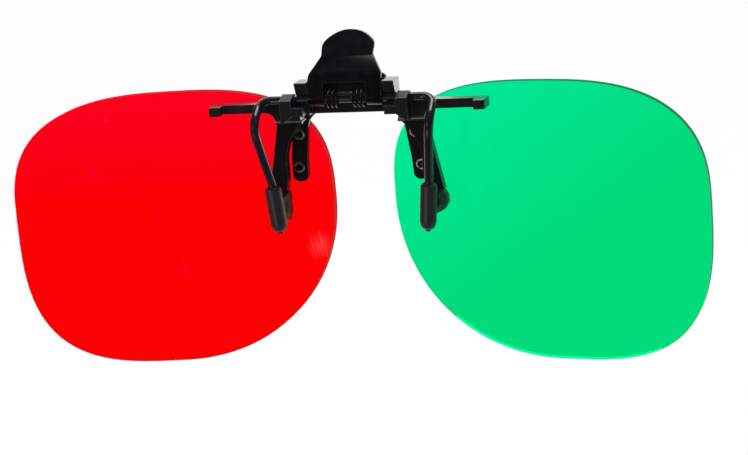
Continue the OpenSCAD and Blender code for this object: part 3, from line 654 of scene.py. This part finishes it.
class CLIPON_OT_pads(bpy.types.Operator):
    """Mould the two rubber pads: a facetted outline that keeps flat faces and rounds off at its rim"""
    bl_idname = "clip_on.pads"
    bl_label = "Rubber pads"

    def execute(self, context):
        chamfer = context.scene.clip_on_grip.pad_chamfer / MM
        # outline in X and Z; each cut takes that share off both ends of every side
        ring = np.array([[12.85, 2.0], [16.3, 2.0], [16.95, 0.7], [17.0, -0.64], [16.3, -1.8], [14.1, -2.9],
                         [13.25, -3.3], [12.85, -1.9]])
        for cut in (0.03, 0.2):
            ahead = np.roll(ring, -1, axis=0)
            ends = [ring * (1 - cut) + ahead * cut, ring * cut + ahead * (1 - cut)]
            ring = np.stack(ends, axis=1).reshape(-1, 2)
        centre = np.array([14.7, -0.4])
        low, high = 0.15, 4.6
        # section: the outline steps in toward both faces by a wide chamfer with a small round at its foot
        y = np.array([low, low + 0.12, low + 0.8 * chamfer, low + chamfer, low + 1.25 * chamfer, high - 0.9,
                      high - 0.5, high])
        inset = np.array([1.0, 0.82, 0.2, 0.06, 0.0, 0.0, 0.12, 0.55]) * chamfer
        reach = np.linalg.norm(ring - centre, axis=1)
        scale = 1 - inset[:, None] * 0.8 / reach[None]
        flat = centre + (ring - centre)[None] * scale[..., None]
        across = np.repeat(y[:, None], len(ring), axis=1)
        for side, sign in SIDES:
            points = np.stack([sign * flat[..., 0], across, flat[..., 1]], axis=-1)
            part = grid_faces(points, close_v=True, cap_start=True, cap_end=True)
            place(side + "_rubber_pad", mesh_of(side + " pad", part), "black rubber", "clip",
                  side + "_pad", smooth=False)
        return {"FINISHED"}


class CLIPON_OT_spring(bpy.types.Operator):
    """Wind the double torsion spring as one round wire"""
    bl_idname = "clip_on.spring"
    bl_label = "Torsion spring"

    def execute(self, context):
        radius, pitch, first, bend, start = 1.45, 0.8, 1.52, 0.45, 145.0
        turns = 2 + (270 - start) / 360
        stop = start + 360 * turns

        def coil(deg):
            """Circle of the mean radius about the grip axis that moves along X by the pitch each turn."""
            a = np.radians(deg)
            return np.stack([first + pitch * (deg - start) / 360, GRIP[1] + radius * np.cos(a),
                             GRIP[2] + radius * np.sin(a)], -1)

        # right half: a quarter bend out of the middle loop, the coil and the straight leg; the left mirrors it
        begin = coil(np.array([start]))[0]
        heading = np.array([0, -np.sin(np.radians(start)), np.cos(np.radians(start))])
        q = np.radians(np.linspace(0, 84, 9))[:, None]
        corner = (begin - bend * heading - [bend, 0, 0] + bend * np.sin(q) * [1, 0, 0]
                  + bend * (1 - np.cos(q)) * heading)
        wind = np.linspace(start, stop, int(40 * turns))
        leg = np.array([[first + pitch * turns, GRIP[1] + t, GRIP[2] - radius] for t in (0.6, 1.2, 1.99)])
        half = np.vstack([corner, coil(wind), leg])
        deg = np.radians(np.concatenate([np.full(len(corner), start), wind, np.full(len(leg), stop)]))
        out = np.stack([np.zeros_like(deg), np.cos(deg), np.sin(deg)], -1)
        path = np.vstack([(half * [-1, 1, 1])[::-1], half])
        wire_radius = context.scene.clip_on_grip.spring_wire / MM / 2
        points = tube(path, np.vstack([out[::-1], out]), wire_radius)
        part = grid_faces(points, close_v=True, cap_start=True, cap_end=True)
        place("wound_torsion_spring", mesh_of("torsion spring", part), "blackened spring steel", "clip",
              "torsion_spring")
        return {"FINISHED"}


class CLIPON_OT_rivets(bpy.types.Operator):
    """Turn the tubular rivets with rolled rims, standing on the lens sphere"""
    bl_idname = "clip_on.rivets"
    bl_label = "Rivets"

    def execute(self, context):
        head = context.scene.clip_on_grip.rivet_head / MM
        base, lens_z, head_depth = 220.0, -3.9, 1.02
        centre = np.array([0, 6.65 - np.sqrt(base ** 2 - 11.3 ** 2 - (9 - lens_z) ** 2), lens_z])
        # profile of (radius, height): from the hole's floor, up its wall, over the rolled rim, along the shank
        # and over the far head's low dome to its pole
        pole, mouth, shank, floor, far, far_head = 0.001, 0.54, 0.7, 1.5, 3.16, 1.03
        hole = [[pole, floor], [mouth - 0.04, floor], [mouth - 0.02, 0.3]]
        rolled = arc(((head + mouth) / 2, 0.03), (head - mouth) / 2, 180, 350, 14)
        outer = [[shank, 0.1], [shank, far - 0.02], [far_head, far]]
        t = np.radians(np.linspace(0, 90, 10))
        dome = np.stack([far_head * np.cos(t) ** 0.7, far + 0.08 + 0.3 * np.sin(t)], axis=-1)
        profile = np.vstack([hole, rolled, outer, dome])
        profile[-1, 0] = pole
        # X and Z of the two rivets of a strip; each stands along the sphere's radius
        spots = np.array([[11.7, 6.0], [11.0, 12.2]])
        height = np.sqrt(base ** 2 - spots[:, 0] ** 2 - (spots[:, 1] - lens_z) ** 2)
        for side, sign in SIDES:
            out = np.stack([sign * spots[:, 0], height, spots[:, 1] - lens_z], axis=-1) / base
            parts = [grid_faces(turned(profile, centre + d * (base - head_depth), d, 40), close_v=True,
                                cap_start=True, cap_end=True) for d in out]
            place(side + "_rolled_rivets", mesh_of(side + " rivets", *parts), "rivet metal", "lens_carrier",
                  side + "_rivets")
        return {"FINISHED"}


def lamp(name, power, at, aim, wide, tall):
    """A rectangular area lamp at a point in metres, facing another."""
    light = bpy.data.lights.new(name, "AREA")
    light.energy = power
    light.shape = "RECTANGLE"
    light.size = wide
    light.size_y = tall
    holder = bpy.data.objects.new(name, light)
    bpy.context.scene.collection.objects.link(holder)
    v, u, w = axes_along(np.asarray(at, float) - np.asarray(aim, float))
    set_axes(holder, -u, v, w, at)
    return holder


def set_axes(holder, x_axis, y_axis, z_axis, at):
    """Stands a lamp or camera at a point, with its own axes along three directions."""
    rows = [(x_axis[i], y_axis[i], z_axis[i], at[i]) for i in range(3)]
    holder.matrix_world = Matrix(rows + [(0, 0, 0, 1)])


def lay_sweep(low):
    """The floor, which rises in a quarter circle into the backdrop, away from the wearer's side."""
    front, bend_at, radius, height, half_width = -0.02, 0.9, 0.5, 1.4, 1.6
    rise = np.radians(np.linspace(9, 90, 10))
    y = np.concatenate([np.linspace(front, bend_at, 8), bend_at + radius * np.sin(rise),
                        np.full(6, bend_at + radius)])
    z = np.concatenate([np.zeros(8), radius - radius * np.cos(rise), radius + np.linspace(0.2, height, 6)])
    x = np.linspace(-half_width, half_width, 9)
    points = np.stack(np.broadcast_arrays(x[None, :], y[:, None], (z + low)[:, None]), axis=-1) / MM
    tree, bsdf, coords = new_material("pale sweep")
    paper = mixed(tree, noise(tree, coords, Scale=900.0, Detail=3.0), (0.86, 0.86, 0.86), (0.90, 0.90, 0.90))
    wire(tree, (paper, bsdf.inputs["Base Color"]))
    bsdf.inputs["Roughness"].default_value = 0.9
    rays = add(tree, "ShaderNodeLightPath").outputs
    seen = maths(tree, "MAXIMUM", maths(tree, "MAXIMUM", rays["Is Camera Ray"], rays["Is Glossy Ray"]),
                 rays["Is Transmission Ray"])
    # what the camera sees is the lit sweep lifted by a glow to white, so a shadow on it still shows
    glow = add(tree, "ShaderNodeEmission", Color=(1, 1, 1, 1), Strength=1.0)
    lifted = add(tree, "ShaderNodeMixShader")
    wire(tree, (maths(tree, "MULTIPLY", seen, 0.95), lifted.inputs[0]), (bsdf.outputs[0], lifted.inputs[1]),
         (glow.outputs[0], lifted.inputs[2]), (lifted.outputs[0], tree.nodes["Material Output"].inputs["Surface"]))
    object_of("floor_sweep", mesh_of("sweep", grid_faces(points)), "pale sweep")


def light_world(scene):
    """White where the camera looks past the sweep, half as strong on matt faces, nearly dark in mirrors."""
    fill_share, mirror_share = 0.5, 0.02
    scene.world = bpy.data.worlds.new("studio")
    scene.world.use_nodes = True
    sky = scene.world.node_tree
    back = sky.nodes["Background"]
    rays = add(sky, "ShaderNodeLightPath").outputs
    shown = maths(sky, "MAXIMUM", rays["Is Camera Ray"], rays["Is Transmission Ray"])
    fill = maths(sky, "MULTIPLY", maths(sky, "SUBTRACT", 1.0, rays["Is Glossy Ray"]), fill_share)
    strength = maths(sky, "MAXIMUM", shown, maths(sky, "ADD", fill, mirror_share))
    wire(sky, (strength, back.inputs["Strength"]))
    back.inputs["Color"].default_value = (1, 1, 1, 1)


def set_camera(scene):
    """The photograph's view, from the wearer's side, a little to the right and above."""
    azimuth, elevation, roll = np.radians([16.0, 13.0, -4.7])
    forward = np.array([-np.sin(azimuth) * np.cos(elevation), np.cos(azimuth) * np.cos(elevation),
                        -np.sin(elevation)])
    right = np.array([np.cos(azimuth), np.sin(azimuth), 0.0])
    up = np.cross(right, forward)
    right, up = (np.cos(roll) * right + np.sin(roll) * up, -np.sin(roll) * right + np.cos(roll) * up)
    # the point that the solved view turns about, its offset in the picture plane and its distance
    middle, aside, above, away = np.array([0, 5.65, 6.0]), -2.610, 11.428, 480.0
    eye = (-(aside * right + above * up + away * forward) + middle) * MM
    photo_width, focal_pixels, sensor = 748.0, 2620.0, 36.0
    cam = bpy.data.cameras.new("photo view")
    cam.sensor_width = sensor
    cam.lens = focal_pixels / photo_width * sensor
    cam.clip_start = 0.01
    cam.clip_end = 20.0
    holder = bpy.data.objects.new("photo view", cam)
    scene.collection.objects.link(holder)
    set_axes(holder, right, up, -forward, eye)
    scene.camera = holder


class CLIPON_OT_stage(bpy.types.Operator):
    """Lay the floor and backdrop, set the lights and the camera"""
    bl_idname = "clip_on.stage"
    bl_label = "Studio"

    def execute(self, context):
        scene = context.scene
        looks = scene.clip_on_studio
        scene.view_settings.view_transform = "Standard"
        lay_sweep(CAD_BOX[0][2] - looks.floor_drop)
        light_world(scene)
        middle = (0, 0, 0.01)
        lamp("overhead soft box", looks.overhead, (0.0, 0.14, 0.60), middle, 0.4, 0.2)
        lamp("rear soft box", looks.rear, (-0.2, 0.85, 0.30), middle, 0.9, 0.3)
        lamp("left key", 0.22, (-0.36, -0.42, 0.22), middle, 0.05, 0.05)
        # a low card that the flanks facing +X mirror; the camera and the lenses look past it
        card = lamp("low right card", 0.22, (0.195, 0.28, -0.03), (0.02, 0, 0.015), 0.2, 0.1)
        card.visible_camera = False
        card.visible_transmission = False
        # a low strip in front that draws a streak down the round pieces and leaves out the flat ones and the lenses
        strip = lamp("front strip", 0.3, (-0.20, -0.44, -0.11), (0, 0, 0.0), 0.045, 0.25)
        lit = bpy.data.collections.new("lit by the front strip")
        for piece in scene.objects:
            if piece.type == "MESH" and any(word in piece.name for word in ("wire", "sleeve", "rivets", "pad")):
                lit.objects.link(piece)
        strip.light_linking.receiver_collection = lit
        set_camera(scene)
        return {"FINISHED"}


SETTINGS = {"clip_on_lens": LensLooks, "clip_on_black": BlackLooks, "clip_on_grip": GripLooks,
            "clip_on_studio": StudioLooks}
STEPS = (CLIPON_OT_finishes, CLIPON_OT_rigid_parts, CLIPON_OT_sleeves, CLIPON_OT_pads, CLIPON_OT_spring,
         CLIPON_OT_rivets, CLIPON_OT_stage)


class CLIPON_PT_panel(bpy.types.Panel):
    """The clip-on's settings and steps in the 3D view's sidebar"""
    bl_label = "Clip-on"
    bl_idname = "CLIPON_PT_panel"
    bl_space_type = "VIEW_3D"
    bl_region_type = "UI"
    bl_category = "Clip-on"

    def draw(self, context):
        for key, kind in SETTINGS.items():
            box = self.layout.box()
            for setting in kind.__annotations__:
                box.prop(getattr(context.scene, key), setting)
        for step in STEPS:
            self.layout.operator(step.bl_idname)


CLASSES = (*SETTINGS.values(), *STEPS, CLIPON_PT_panel)


def register():
    for cls in CLASSES:
        bpy.utils.register_class(cls)
    for key, kind in SETTINGS.items():
        setattr(bpy.types.Scene, key, bpy.props.PointerProperty(type=kind))


def unregister():
    for key in SETTINGS:
        delattr(bpy.types.Scene, key)
    for cls in reversed(CLASSES):
        bpy.utils.unregister_class(cls)


def main():
    register()
    bpy.ops.clip_on.finishes()
    bpy.ops.clip_on.rigid_parts()
    bpy.ops.clip_on.sleeves()
    bpy.ops.clip_on.pads()
    bpy.ops.clip_on.spring()
    bpy.ops.clip_on.rivets()
    bpy.ops.clip_on.stage()


if __name__ == "__main__":
    main()
